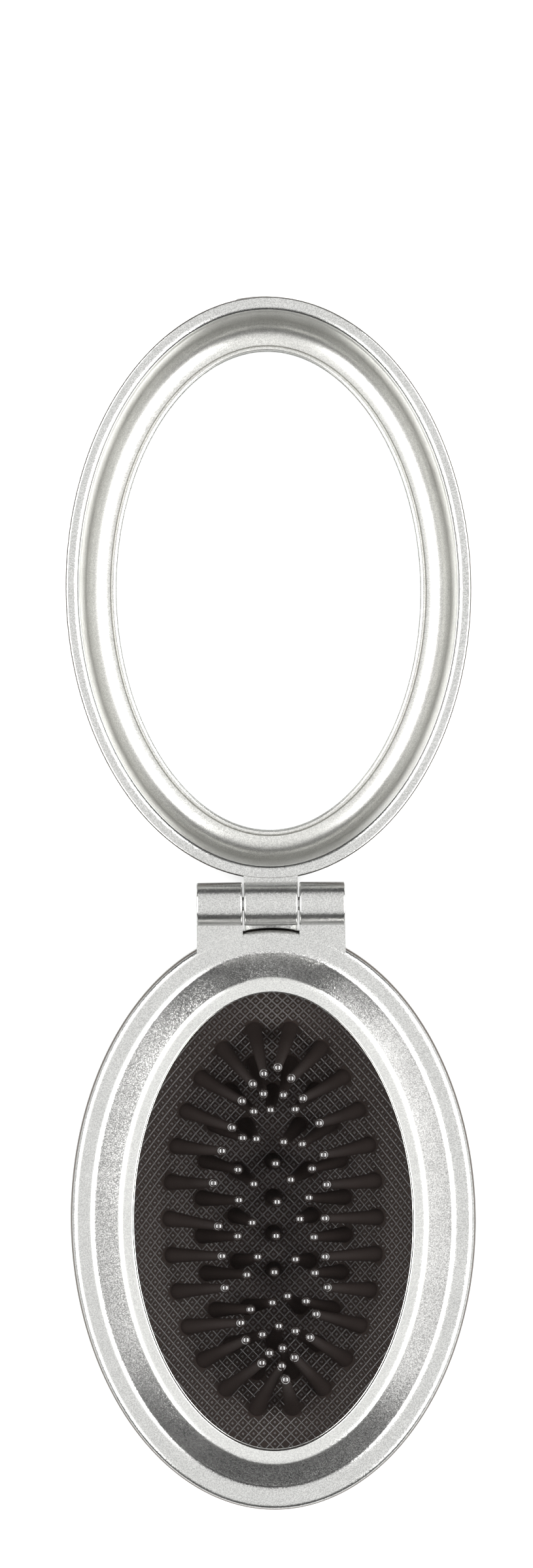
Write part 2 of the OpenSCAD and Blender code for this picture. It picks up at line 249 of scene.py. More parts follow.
# %% [markdown]
# The rubber pad is a membrane sunken like a dish, with a flange under the ring. Cloth or rubber
# could be simulated, but this pad is held tight all round and rests in one steady form. So its
# height is a plain formula, which the pins and the grid can use too.

# %% The rubber's form
PAD_EDGE, PAD_DEPTH = 9.45, 8.6  # inset of the rubber's edge, and how deep the dish is

rim_x, rim_y = outline(PAD_EDGE)
rim_angle = np.arctan2(rim_x, rim_y)
order = np.argsort(rim_angle)
RIM_ANGLE = rim_angle[order]
RIM_REACH = np.hypot(rim_x, rim_y)[order]


def rim_share(x, y):
    """How far a point of the pad is from the middle, as a share of the way to the rim in the same
    direction."""
    reach = np.interp(np.arctan2(x, y), RIM_ANGLE, RIM_REACH, period=2 * np.pi)
    return np.hypot(x, y) / reach


def dish_height(x, y):
    """Height of the rubber: its edge, less the depth times one minus the square of the share."""
    return PAD_Z - PAD_DEPTH * (1 - rim_share(x, y) ** 2)


def dish_normal(x, y):
    """Upward normal of the dish, from its slopes over a small step each way."""
    e = 0.02
    n = np.stack([-(dish_height(x + e, y) - dish_height(x - e, y)) / (2 * e),
                  -(dish_height(x, y + e) - dish_height(x, y - e)) / (2 * e),
                  np.ones_like(x)], -1)
    return n / np.linalg.norm(n, axis=-1, keepdims=True)


print(f"the dish is {PAD_DEPTH} mm deep, its floor at {PAD_Z - PAD_DEPTH:.1f} mm")

# %% [markdown]
# The membrane's skin is one closed surface: from the middle of the top outwards, round the flange
# and back along the underside.

# %% The rubber's dish
RUBBER_THICK = 1.1


def dish_rings(shares, drop):
    """Rings of the dish at steady shares of the way to the rim, lowered by a thickness."""
    x, y = rim_x * shares[:, None], rim_y * shares[:, None]
    return np.stack([x, y, dish_height(x, y) - drop], -1).reshape(-1, 3)


top_shares = np.linspace(0.0, 0.995, 41)[1:]
under_shares = top_shares[top_shares < 0.96][::-1]
flange_x, flange_y = outline(np.array([9.3, 7.2, 7.2, 9.9]))
flange_z = np.broadcast_to(np.array([14.66, 14.66, 13.64, 13.64])[:, None], flange_x.shape)
dish_points = np.vstack([
    dish_rings(top_shares, 0.0),
    np.stack([flange_x, flange_y, flange_z], -1).reshape(-1, 3),
    dish_rings(under_shares, RUBBER_THICK),
    [[0, 0, PAD_Z - PAD_DEPTH], [0, 0, PAD_Z - PAD_DEPTH - RUBBER_THICK]]])
dish_rows = len(top_shares) + len(flange_z) + len(under_shares)
dish_faces = [quads(dish_rows, AROUND)] + end_fans(dish_rows, AROUND)
rubber_dish = make_piece("rubber_dish", dish_points + [0, BRUSH_Y, 0], dish_faces,
                         "brush_half", "rubber", sharp=50)

# %% [markdown]
# The pins stand on oval rings and lean towards the pad's long axis. A real pin leaves the rubber
# square to it and bends a little, so its ball is up to a millimetre off the regular place. The
# roots follow from the rings. The balls' places were measured from the photograph.

# %% Where the pins stand and where their balls are
def ring_of_roots(half_w, half_l, count, shift):
    """Points spaced evenly along an ellipse from its far end, by measuring off its length."""
    t = np.linspace(0, 2 * np.pi, 1441)
    p = np.stack([half_w * np.sin(t), half_l * np.cos(t)], -1)
    run = np.r_[0, np.cumsum(np.linalg.norm(np.diff(p, axis=0), axis=1))]
    at = np.interp((np.arange(count) + shift) / count * run[-1], run, t)
    return np.stack([half_w * np.sin(at), half_l * np.cos(at)], -1)


PIN_RINGS = {
    "outer": (ring_of_roots(15.45, 28.55, 26, 0.5), np.array([
        (0.8, 23.0), (2.7, 21.4), (4.4, 18.4), (6.8, 14.8), (7.4, 10.1), (7.8, 5.7), (7.5, 0.7),
        (7.5, -4.9), (7.8, -9.3), (6.1, -13.2), (5.2, -16.5), (2.9, -19.4), (1.6, -22.5),
        (1.1, -20.7), (-1.8, -20.2), (-4.1, -16.9), (-4.8, -14.5), (-7.1, -9.3), (-7.5, -4.7),
        (-8.0, -0.3), (-8.7, 6.1), (-7.4, 10.8), (-5.9, 14.2), (-4.4, 18.1), (-2.8, 20.6),
        (-1.2, 22.1)])),
    "middle": (ring_of_roots(10.65, 23.75, 20, 0.5), np.array([
        (1.6, 18.9), (3.3, 16.8), (4.3, 11.6), (5.7, 8.0), (5.2, 3.7), (5.9, -2.1), (6.0, -7.3),
        (4.7, -11.4), (3.1, -15.7), (1.2, -18.1), (-0.7, -18.8), (-1.7, -16.2), (-3.4, -12.6),
        (-3.9, -7.6), (-5.2, -1.9), (-5.0, 3.4), (-5.1, 7.9), (-4.4, 12.6), (-2.7, 16.5),
        (-1.3, 19.1)])),
    "inner": (ring_of_roots(5.65, 18.75, 12, 0.0), np.array([
        (-0.3, 16.7), (1.6, 11.9), (2.6, 6.3), (3.9, 0.5), (3.2, -5.4), (2.0, -10.7),
        (0.7, -15.0), (-0.2, -11.7), (-2.3, -5.0), (-3.1, 0.0), (-2.8, 5.7), (-2.4, 12.4)])),
    "centre": (np.array([(0, 8.1), (0, 2.7), (0, -2.7), (0, -8.1)]),
               np.array([(0.4, 8.7), (0.6, 3.0), (0.4, -2.0), (0.1, -7.3)])),
}
roots = np.vstack([root_xy for root_xy, _ in PIN_RINGS.values()])
print("pins:", len(roots))

# %% [markdown]
# The rubber has a fine raised grid: two families of ridges that cross at almost a right angle,
# with a stud in each lozenge. It keeps the rubber supple. A bump in the material would be flat in
# the mesh, so the grid is real geometry. Its lines are evenly spaced along the rubber, so a
# lookup turns a length along the surface into a place on the plan.

# %% Where the grid's lines run
PITCH_X, PITCH_Y = 1.58, 1.68    # a lozenge's width and length, along the rubber
LINES = 32                       # lines laid each way from the middle
BOWL_W, BOWL_L = 20.65, 33.75    # the bowl's half width and half length
RIDGE_END, STUD_END = 1.012, 0.985    # how far out they go, as shares of the way to the rim


def spread(half_size, reach):
    """Lookup from a length along the bowl to a place on the plan, along one axis: the running sum
    of the bowl's slant over small steps, out to the reach."""
    x = np.linspace(0, reach, 600)
    slant = np.sqrt(1 + (2 * PAD_DEPTH * x / half_size**2) ** 2)
    run = np.r_[0, np.cumsum((slant[1:] + slant[:-1]) / 2 * np.diff(x))]
    return lambda s: np.sign(s) * np.interp(np.abs(s), run, x)


place_x = spread(BOWL_W, 24.0)
place_y = spread(BOWL_L, 38.0)


def on_bowl(p, q):
    """A place on the plan from lozenge counts p and q: half their sum and half their difference,
    times the pitches, measured along the rubber."""
    return place_x((p + q) / 2 * PITCH_X), place_y((p - q) / 2 * PITCH_Y)


def on_line(family, line, along):
    """A place on one of the grid's lines: p counts the first family's lines, q the second's."""
    return on_bowl(line, along) if family == 0 else on_bowl(along, line)


def clear_of_pins(x, y, start, full):
    """0 within the start distance of a pin's root, 1 beyond the full distance, and an eased step
    between them: three times the square of the way less twice its cube."""
    near = np.full(x.shape, np.inf)
    for root_x, root_y in roots:
        near = np.minimum(near, np.hypot(x - root_x, y - root_y))
    t = np.clip((near - start) / (full - start), 0, 1)
    return t * t * (3 - 2 * t)


print(f"grid: lozenges of {PITCH_X} x {PITCH_Y} mm")

# %% [markdown]
# Each ridge is a thin closed bar with two feet in the rubber and a narrow crest. Round each pin
# the rubber is smooth, so the bars sink into it there. At the pad's edge they end in the ring.

# %% The grid's ridges
def grid_ridges(name, family, half_width=0.15, height=0.14, sink=0.06):
    """Bars along every line of a family. At each station the surface point is moved down the
    normal for the feet and up it for the crest, and sideways by the half width for a foot and
    0.42 of it for an edge of the crest. Bars are kept to just past the pad's rim."""
    line, along = np.meshgrid(np.arange(-LINES, LINES + 1.0),
                              np.arange(-LINES, LINES + 0.01, 0.25), indexing="ij")
    x, y = on_line(family, line, along)
    next_x, next_y = on_line(family, line, along + 0.001)
    base = np.stack([x, y, dish_height(x, y)], -1)
    run = np.stack([next_x, next_y, dish_height(next_x, next_y)], -1) - base
    normal = dish_normal(x, y)
    side = np.cross(run, normal)
    side /= np.linalg.norm(side, axis=-1, keepdims=True)
    rise = (height + sink) * clear_of_pins(x, y, 1.25, 1.45) - sink
    foot, crest = base - (sink + 0.02) * normal, base + rise[..., None] * normal
    edge = 0.42 * half_width
    bar = np.stack([foot - half_width * side, crest - edge * side,
                    crest + edge * side, foot + half_width * side], -2)

    number = np.arange(bar.size // 3).reshape(bar.shape[:3])
    inside = rim_share(x, y) < RIDGE_END
    live = inside[:, :-1] & inside[:, 1:]
    here, there = number[:, :-1][live], number[:, 1:][live]
    sides = [np.stack([here[:, i], here[:, j], there[:, j], there[:, i]], -1)
             for i, j in ((0, 1), (1, 2), (2, 3), (3, 0))]
    first = live & ~np.pad(live, ((0, 0), (1, 0)))[:, :-1]
    last = live & ~np.pad(live, ((0, 0), (0, 1)))[:, 1:]
    caps = [number[:, :-1][first][:, ::-1], number[:, 1:][last]]
    used, faces = np.unique(np.concatenate(sides + caps), return_inverse=True)
    return make_piece(name, bar.reshape(-1, 3)[used] + [0, BRUSH_Y, 0], [faces.reshape(-1, 4)],
                      "brush_half", "rubber", sharp=None)


ridges_rising = grid_ridges("rubber_ridges_rising", 0)
ridges_falling = grid_ridges("rubber_ridges_falling", 1)

# %% [markdown]
# A low square stud stands in the middle of each lozenge. A shape that is repeated thousands of
# times keeps few faces: a foot, slanted sides, a narrow brim and a shallow hollow.

# %% The studs in the grid
def grid_studs(name, foot=0.17, brim=0.125, height=0.12):
    """Studs at the half counts of p and q. Each is four squares laid along the grid's own
    directions: the foot just under the rubber, the brim at the height, the hollow's edge at 0.62
    of the brim, and its floor at 0.40 of the brim and 0.45 of the height."""
    counts = np.arange(-LINES, LINES) + 0.5
    p, q = np.meshgrid(counts, counts, indexing="ij")
    x, y = on_bowl(p, q)
    keep = (rim_share(x, y) < STUD_END) & (clear_of_pins(x, y, 1.30, 1.55) > 0.6)
    p, q, x, y = p[keep], q[keep], x[keep], y[keep]
    normal = dish_normal(x, y)
    squares = ((foot, -0.02), (brim, height), (0.62 * brim, height), (0.40 * brim, 0.45 * height))
    corners = []
    for size, lift in squares:
        for dp, dq in ((1, 1), (1, -1), (-1, -1), (-1, 1)):
            cx, cy = on_bowl(p + dp * size, q + dq * size)
            corners.append(np.stack([cx, cy, dish_height(cx, cy)], -1) + lift * normal)
    stud = [(0, 1, 2, 3), (15, 14, 13, 12)]
    stud += [(r + i, r + i + 4, r + (i + 1) % 4 + 4, r + (i + 1) % 4)
             for r in (0, 4, 8) for i in range(4)]
    number = np.arange(len(p))[:, None] * len(corners)
    faces = np.concatenate([number + np.array(face) for face in stud])
    return make_piece(name, np.stack(corners, 1) + [0, BRUSH_Y, 0], [faces],
                      "brush_half", "rubber", sharp=None)


studs = grid_studs("rubber_studs")

# %% [markdown]
# A pin is a smooth nylon cone with a wider head under the rubber and a ball on its tip. It is
# turned like a spindle, but about an axis that bends gently. The profile below is its radius at
# each length from the root.

# %% The pins' profile
PIN_PROFILE = np.array([
    (-1.72, 0.0), (-1.72, 1.35), (-1.62, 1.5), (-1.2, 1.5), (-1.1, 1.35), (-1.08, 0.75),
    (-0.5, 0.75), (-0.48, 1.2), (0.1, 1.21), (0.3, 1.18), (1.5, 1.12), (3.5, 1.02), (6.0, 0.89),
    (8.5, 0.77), (10.4, 0.675), (11.12, 0.64), (11.24, 0.63), (11.38, 0.68), (11.6, 0.74),
    (11.87, 0.76), (12.12, 0.72), (12.33, 0.61), (12.5, 0.42), (12.6, 0.2), (12.63, 0.0)])
PIN_LENGTH = PIN_PROFILE[-1, 0]
NECK, BALL = 11.2, 11.87         # how far up the ball starts, and where its middle is
PIN_SIDES = 20                   # points round a pin
BEND, HANDLE = 0.28, 6.3         # how much it bends, and how far up its handle is
BEND_LOSS = 0.05                 # what the bend takes off the straight way to the ball

print(f"a pin stands {PIN_LENGTH} mm out of the rubber, with {len(PIN_PROFILE)} stations")

# %% [markdown]
# The axis is a curve with three handles, the simplest curve that bends evenly from a given start
# to a given end. At the root it turns a little towards the rubber's normal, as a real pin does,
# and it ends at the measured ball. All the pins of a piece are computed at once.

# %% The pins' axes and rings
def bent_axes(root_xy, ball_xy):
    """Points and directions of each pin's axis at the profile's stations. Its handles are the
    root, a point between the rubber's normal and the straight way, and the tip. At a share t of
    the length it is (1 - t) squared of the first, twice t (1 - t) of the second and t squared of
    the third. Below the root it goes straight down the normal."""
    normal = dish_normal(root_xy[:, 0], root_xy[:, 1])
    root = np.column_stack([root_xy, dish_height(root_xy[:, 0], root_xy[:, 1])])
    step = ball_xy - root_xy
    rise = np.sqrt((BALL - BEND_LOSS) ** 2 - (step**2).sum(1))
    tip = root + np.column_stack([step, rise]) * PIN_LENGTH / BALL
    handle = root + (1 - BEND) * 0.5 * (tip - root) + BEND * HANDLE * normal
    root, handle, tip, normal = (v[:, None] for v in (root, handle, tip, normal))
    share = (PIN_PROFILE[:, 0] / PIN_LENGTH)[None, :, None]
    t = np.maximum(share, 0)
    axis = (1 - t) ** 2 * root + 2 * t * (1 - t) * handle + t**2 * tip
    axis = axis + np.minimum(share, 0) * PIN_LENGTH * normal
    lean = 2 * (1 - t) * (handle - root) + 2 * t * (tip - handle)
    return axis, lean / np.linalg.norm(lean, axis=-1, keepdims=True)


def turned_rings(axis, lean, radius):
    """Rings square to an axis: its point, plus the radius times the cosine and the sine of the
    turn along two directions that are square to the axis and to each other."""
    side = np.cross(lean, [0.0, 1.0, 0.0])
    side /= np.linalg.norm(side, axis=-1, keepdims=True)
    other = np.cross(lean, side)
    a = np.linspace(0, 2 * np.pi, PIN_SIDES, endpoint=False)[:, None]
    circle = np.cos(a) * side[:, :, None] + np.sin(a) * other[:, :, None]
    return axis[:, :, None] + radius[None, :, None, None] * circle

# %% [markdown]
# The pins of one ring on one side are one piece, as in the CAD. The balls are the same nylon as
# the shafts but polished, so their faces take a second finish.

# %% The pins
def pins(name, group, side):
    """The pins of a group on one side: -1 for left, 1 for right and 0 for the long axis. Each is
    a skin over its rings with a pole at both ends."""
    root_xy, ball_xy = PIN_RINGS[group]
    pick = np.sign(np.round(root_xy[:, 0], 2)) == side
    axis, lean = bent_axes(root_xy[pick], ball_xy[pick])
    rings = turned_rings(axis[:, 1:-1], lean[:, 1:-1], PIN_PROFILE[1:-1, 1])
    n, rows = rings.shape[:2]
    points = np.concatenate([rings.reshape(n, -1, 3), axis[:, :1], axis[:, -1:]], 1)
    start = np.arange(n)[:, None, None] * points.shape[1]
    faces = [(start + part).reshape(-1, part.shape[1])
             for part in [quads(rows, PIN_SIDES)] + end_fans(rows, PIN_SIDES)]
    piece = make_piece(name, points + [0, BRUSH_Y, 0], faces, "brush_half", "pins", sharp=60)
    wall_on_ball = np.tile(np.repeat(PIN_PROFILE[1:-2, 0] > NECK, PIN_SIDES), n)
    on_ball = np.r_[wall_on_ball, np.zeros(n * PIN_SIDES, bool), np.ones(n * PIN_SIDES, bool)]
    piece.data.polygons.foreach_set("material_index", on_ball.astype(int))
    return piece


PIN_NODES = {
    "outer_pins_left": ("outer", -1), "outer_pins_right": ("outer", 1),
    "middle_pins_left": ("middle", -1), "middle_pins_right": ("middle", 1),
    "inner_pins_left": ("inner", -1), "inner_pins_right": ("inner", 1),
    "inner_pins_ends": ("inner", 0), "centre_pins": ("centre", 0),
}
PINS = {node: pins(f"bent_{node}", group, side) for node, (group, side) in PIN_NODES.items()}

# %% [markdown]
# The lid is a closed tray with a narrow rim. Its section starts and ends at the middle, so its
# two ends close in poles. Inside the tray a frame falls steeply, turns through a cove and ends in
# a small lip round the mirror. The cove is what makes the frame's soft bright and dark bands.

# %% The lid's tray and frame
tray = ([(6.6, 0.0)]                                         # the back
        + arc(6, 6, 6, 270, 180, 16)                         # outer corner
        + arc(0.38, RIM_Z - 0.38, 0.38, 180, 90, 7)          # outer edge of the rim
        + arc(1.12, RIM_Z - 1.05, 1.05, 90, 46, 10)          # inner edge of the rim
        + [(1.87, 6.0)]                                      # inside of the wall
        + arc(6, 5.6, 4.1, 180, 270, 8)                      # inner corner
        + [(6.6, 1.5)])                                      # inside of the back
lid_tray = make_piece("lid_tray", *run_round(tray, LID_Y, closed=False, poles=True),
                      "lid", "silver")
# painted shade along the lid tray's outermost edge
painted_shade_edge(lid_tray, tray, 0.20, closed=False)

frame_section = (arc(1.68, 13.3, 0.28, 40, 3, 5)             # small edge under the rim
                 + [(2.04, 10.8)]                            # steep wall
                 + arc(6.30, 7.46, 3.6, 185.5, 270, 24)      # cove
                 + arc(6.62, 3.97, 0.30, 205, 90, 6)         # outside of the lip
                 + arc(6.80, 4.0, 0.27, 90, 0, 5)            # inside of the lip
                 + [(7.07, 1.55), (6.4, 1.55)]               # foot beside the mirror
                 + arc(6, 5.6, 4.04, 262, 180, 8)            # corner against the tray
                 + [(1.96, 12.2)])
lid_frame = make_piece("lid_frame", *run_round(frame_section, LID_Y), "lid", "silver")

# %% [markdown]
# The mirror is a pane of glass, silvered behind. Clear glass over a silver sheet would be the
# full way to make it. From above only the silver shows, so the piece is a pane whose face lies at
# the silver's height and has its finish.

# %% The mirror
GLASS_Z, GLASS_IN = 2.8, 7.09    # height of the mirror's face, and the inset of its edge

pane = [(GLASS_IN + 0.1, 2.0), (GLASS_IN, 2.1), (GLASS_IN, GLASS_Z - 0.12),
        (GLASS_IN + 0.12, GLASS_Z), (GLASS_IN + 0.6, GLASS_Z)]
lid_mirror = make_piece("lid_mirror", *run_round(pane, LID_Y, closed=False, poles=True),
                        "lid", "mirror", sharp=20)

# %% [markdown]
# The thumb ledge on the lid's far end is a low swelling of the rim's side. It starts with a crisp
# end on the left and fades out on the right, so its section is scaled as it goes along.

# %% The thumb ledge
LEDGE_FROM, LEDGE_TO, LEDGE_REACH = -4.4, 6.4, 0.24


def thumb_ledge():
    """A section carried along the far end of the oval. Its reach outwards is the full reach times
    the share of the way left, to the power 0.8."""
    x = np.linspace(LEDGE_FROM, LEDGE_TO, 60)
    turn = np.arcsin(x / HALF_W)
    nx, ny = np.sin(turn) / HALF_W, np.cos(turn) / HALF_L
    size = np.hypot(nx, ny)
    reach = LEDGE_REACH * ((LEDGE_TO - x) / (LEDGE_TO - LEDGE_FROM)) ** 0.8
    section = np.array([(-0.6, 10.6), (0.0, 10.6), (0.75, 10.75), (1.0, 11.1),
                        (1.0, 13.0), (0.7, 13.3), (0.0, 13.42), (-0.6, 13.42)])
    share, z = section.T
    out = np.where(share > 0, share * reach[:, None], share) - 0.02
    px = HALF_W * np.sin(turn)[:, None] + out * (nx / size)[:, None]
    py = HALF_L * np.cos(turn)[:, None] + out * (ny / size)[:, None]
    points = np.stack([px, py + LID_Y, np.broadcast_to(z, px.shape)], -1)
    rows, cols = px.shape
    ends = [np.arange(cols)[None, ::-1], (rows - 1) * cols + np.arange(cols)[None]]
    return make_piece("thumb_rest_ledge", points, [quads(rows, cols)] + ends,
                      "lid", "silver", sharp=50)


ledge = thumb_ledge()

# %% [markdown]
# The hinge has two knuckles on the brush half and one on the lid, with a steel pin through them.
# A knuckle is a round eye with a lug to its casing. It is drawn once as an outline and carried
# along the pin, with a fine rounding at both ends.

# %% The hinge's knuckles
HINGE_Z, KNUCKLE_R, BORE_R = 14.0, 3.2, 1.02
TO_WALL, INTO_WALL = 3.6, 0.9    # from the pin's middle to the oval, and on into its wall
ROUNDING = 0.22                  # of a knuckle's ends


def on_circle(angles, radius):
    """Points at the radius times the cosine and the sine of each angle."""
    return np.stack([np.cos(angles), np.sin(angles)], -1) * radius


def knuckle(name, x0, x1, toward, body):
    """The outline is carried along the pin and back through the bore, so that the wall closes on
    itself. The lug reaches the oval's wall at each place: the way to the wall, plus what the
    ellipse falls back there."""
    eye = on_circle(np.radians(np.linspace(90, -90, 25)), KNUCKLE_R)
    lug = np.array([(-11.0, -KNUCKLE_R), (-11.0, -0.16), (-3.2, -0.16)])
    back = on_circle(np.radians(np.linspace(176, 97, 11)), KNUCKLE_R)
    outer = np.vstack([eye, lug, back])
    bore = on_circle(np.arctan2(outer[:, 1], outer[:, 0]), BORE_R)
    inner = outer * (1 - ROUNDING / np.linalg.norm(outer, axis=1))[:, None]
    edge = outer * 0.6 + inner * 0.4
    loops = ([(x0 + ROUNDING, outer)]
             + [(x, outer) for x in np.linspace(x0 + 0.3, x1 - 0.3, 6)]
             + [(x1 - ROUNDING, outer), (x1 - 0.06, edge), (x1, inner), (x1, bore)]
             + [(x0, bore), (x0, inner), (x0 + 0.06, edge)])
    points = np.concatenate([np.column_stack([np.full(len(o), x), o]) for x, o in loops])
    wall = TO_WALL + INTO_WALL + HALF_L * (1 - np.sqrt(1 - (points[:, 0] / HALF_W) ** 2))
    points[:, 1] = np.maximum(points[:, 1], -wall)
    points = points * [1, -toward, 1] + [0, 0, HINGE_Z]
    return make_piece(name, points, [quads(len(loops), len(outer), wrap_rows=True)],
                      body, "silver", sharp=40)


hinge_parts = [knuckle("brush_knuckle_left", -11.0, -4.2, -1, "brush_half"),
               knuckle("brush_knuckle_right", 4.2, 11.0, -1, "brush_half"),
               knuckle("lid_knuckle", -4.0, 4.0, 1, "lid")]

# %% [markdown]
# Two heels below the knuckles meet when the lid is flat and stop it there. Each is a small block
# with rounded edges.

# %% The hinge's heels
HEEL_LOW, HEEL_HIGH = np.array([-4.0, 0.15, 5.5]), np.array([4.0, 5.6, 10.5])
HEEL_EDGE = 0.3                  # rounding of its edges


def heel(name, toward, body):
    """A rounded box: each point of a ball of the rounding's size is moved by the box's half size
    towards the corner that it faces."""
    u = np.linspace(0, np.pi, 13)[1:-1, None]
    v = np.linspace(0, 2 * np.pi, 32, endpoint=False)[None]
    ball = np.stack([np.sin(u) * np.cos(v), np.sin(u) * np.sin(v), np.cos(u) + 0 * v], -1)
    rows, cols = ball.shape[:2]
    ball = np.vstack([ball.reshape(-1, 3), [[0, 0, 1], [0, 0, -1]]])
    middle, half = (HEEL_LOW + HEEL_HIGH) / 2, (HEEL_HIGH - HEEL_LOW) / 2 - HEEL_EDGE
    points = middle + np.sign(np.round(ball, 6)) * half + HEEL_EDGE * ball
    points[:, 1] *= toward
    return make_piece(name, points, [quads(rows, cols)] + end_fans(rows, cols),
                      body, "silver", sharp=40)


heels = [heel("brush_heel", -1, "brush_half"), heel("lid_heel", 1, "lid")]

# %% [markdown]
# The CAD's plain solids stay in the model for its motion, but they shouldn't show where a finer
# piece stands for them. The knuckles and heels replace nothing by themselves: they belong to the
# two casings, as on the real object, and so do the ridges and studs to the rubber.

# %% Which CAD nodes the pieces stand for
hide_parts("base_shell")
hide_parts("brush_bezel")
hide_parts("pad_ring")
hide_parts("rubber_pad")
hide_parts("lid_shell")
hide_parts("mirror_frame")
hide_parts("mirror_glass")
for node, piece in PINS.items():
    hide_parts(node)
print("the casings, bezel, ring, rubber, frame, mirror and", len(PINS), "groups of pins are replaced")

# %% [markdown]
# The finishes come next. The silver is a lacquer with fine metal flakes, the rubber and the pins
# are black and differ in gloss. Several finishes share an effect, so each effect is a node group
# that is built once and placed with its own values. First come small helpers for nodes.

# %% Helpers for shader nodes
def new_node(tree, kind, **settings):
    """A shader node of the given kind with its settings made."""
    node = tree.nodes.new("ShaderNode" + kind)
    for setting, value in settings.items():
        setattr(node, setting, value)
    return node


def wire(tree, *pairs):
    """Joins each pair of sockets."""
    for source, target in pairs:
        tree.links.new(source, target)


def new_group(name, inputs, outputs):
    """An empty node group. Its inputs are numbers with a usual value, and each output is of the
    given kind."""
    group = bpy.data.node_groups.new(name, "ShaderNodeTree")
    for label, value in inputs.items():
        socket = group.interface.new_socket(name=label, in_out="INPUT",
                                            socket_type="NodeSocketFloat")
        socket.default_value = value
    for label, kind in outputs.items():
        group.interface.new_socket(name=label, in_out="OUTPUT", socket_type=kind)
    return group, group.nodes.new("NodeGroupInput"), group.nodes.new("NodeGroupOutput")

# %% [markdown]
# Metal flakes lie in the lacquer at slightly different angles, so each one mirrors another part of
# the room. A cell texture gives every flake one random colour, which serves as its tilt and as
# its brightness. The second effect is a grain, for soft unevenness in colour, gloss and relief.

# %% Shared effects
def metal_flakes():
    """Small cells, each with its own random colour. The colour less a half, times the tilt, is
    added to the normal, and the colour's first part says how bright the flake is."""
    group, inp, out = new_group("metal_flakes", {"Size mm": 0.09, "Tilt": 0.2},
                                {"Sparkle": "NodeSocketFloat", "Normal": "NodeSocketVector"})
    place = new_node(group, "TexCoord")
    per_metre = new_node(group, "Math", operation="DIVIDE")
    per_metre.inputs[0].default_value = 1000.0
    cells = new_node(group, "TexVoronoi", feature="F1", voronoi_dimensions="3D")
    centred = new_node(group, "VectorMath", operation="SUBTRACT")
    centred.inputs[1].default_value = (0.5, 0.5, 0.5)
    tilted = new_node(group, "VectorMath", operation="SCALE")
    surface = new_node(group, "NewGeometry")
    added = new_node(group, "VectorMath", operation="ADD")
    unit = new_node(group, "VectorMath", operation="NORMALIZE")
    split = new_node(group, "SeparateColor")
    wire(group, (inp.outputs["Size mm"], per_metre.inputs[1]),
         (per_metre.outputs[0], cells.inputs["Scale"]),
         (place.outputs["Object"], cells.inputs["Vector"]),
         (cells.outputs["Color"], centred.inputs[0]),
         (centred.outputs[0], tilted.inputs[0]),
         (inp.outputs["Tilt"], tilted.inputs["Scale"]),
         (tilted.outputs[0], added.inputs[0]),
         (surface.outputs["Normal"], added.inputs[1]),
         (added.outputs[0], unit.inputs[0]),
         (unit.outputs[0], out.inputs["Normal"]),
         (cells.outputs["Color"], split.inputs[0]),
         (split.outputs[0], out.inputs["Sparkle"]))
    return group


def fine_grain():
    """Two noises: a fine one of the given size is the height for a bump, and a broad one of about
    7 mm is the mask that varies colour and gloss."""
    group, inp, out = new_group("fine_grain", {"Size mm": 0.3},
                                {"Height": "NodeSocketFloat", "Mask": "NodeSocketFloat"})
    place = new_node(group, "TexCoord")
    per_metre = new_node(group, "Math", operation="DIVIDE")
    per_metre.inputs[0].default_value = 1000.0
    fine = new_node(group, "TexNoise")
    fine.inputs["Detail"].default_value = 4.0
    broad = new_node(group, "TexNoise")
    broad.inputs["Scale"].default_value = 140.0
    wire(group, (inp.outputs["Size mm"], per_metre.inputs[1]),
         (per_metre.outputs[0], fine.inputs["Scale"]),
         (place.outputs["Object"], fine.inputs["Vector"]),
         (place.outputs["Object"], broad.inputs["Vector"]),
         (fine.outputs[0], out.inputs["Height"]),
         (broad.outputs[0], out.inputs["Mask"]))
    return group


FLAKES, GRAIN = metal_flakes(), fine_grain()
print("shared effects:", FLAKES.name, GRAIN.name)

# %% [markdown]
# A material keeps its shader to itself. What is the same all over a surface is set on the
# shader's own sockets, and what varies comes from the effects through a ramp.

# %% Helpers for materials
def new_material(name, **fixed):
    """A material with a Principled shader whose steady values are set on its own sockets."""
    material = bpy.data.materials.new(name)
    material.use_nodes = True
    shader = material.node_tree.nodes["Principled BSDF"]
    for socket, value in fixed.items():
        shader.inputs[socket.replace("_", " ")].default_value = value
    return material, material.node_tree, shader


def place_group(tree, group, **values):
    """Places an effect in a material with its own values."""
    node = new_node(tree, "Group", node_tree=group)
    for socket, value in values.items():
        node.inputs[socket.replace("_", " ")].default_value = value
    return node


def ramp(tree, factor, socket, low, high, start=0.3, end=0.7):
    """Turns a value into a colour or number between two ends."""
    node = new_node(tree, "ValToRGB")
    for stop, position, value in zip(node.color_ramp.elements, (start, end), (low, high)):
        stop.position = position
        stop.color = (*value, 1) if isinstance(value, tuple) else (value, value, value, 1)
    wire(tree, (factor, node.inputs[0]), (node.outputs[0], socket))

# %% [markdown]
# Two recipes make all the finishes. The silver one is metal with flakes under a clear coat, and
# it turns dark brown on the marked edge, which is painted shade. The other is a plain surface
# with a grain, for rubber, nylon, foam, steel and the mirror's silver.

# %% Two recipes for finishes
PAINTED_EDGE_SHADE = (0.055, 0.044, 0.035, 1)    # painted shade on the casings' outermost edge, dark brown
RELIEF = 0.00004                            # height of the grain's bump, in metres


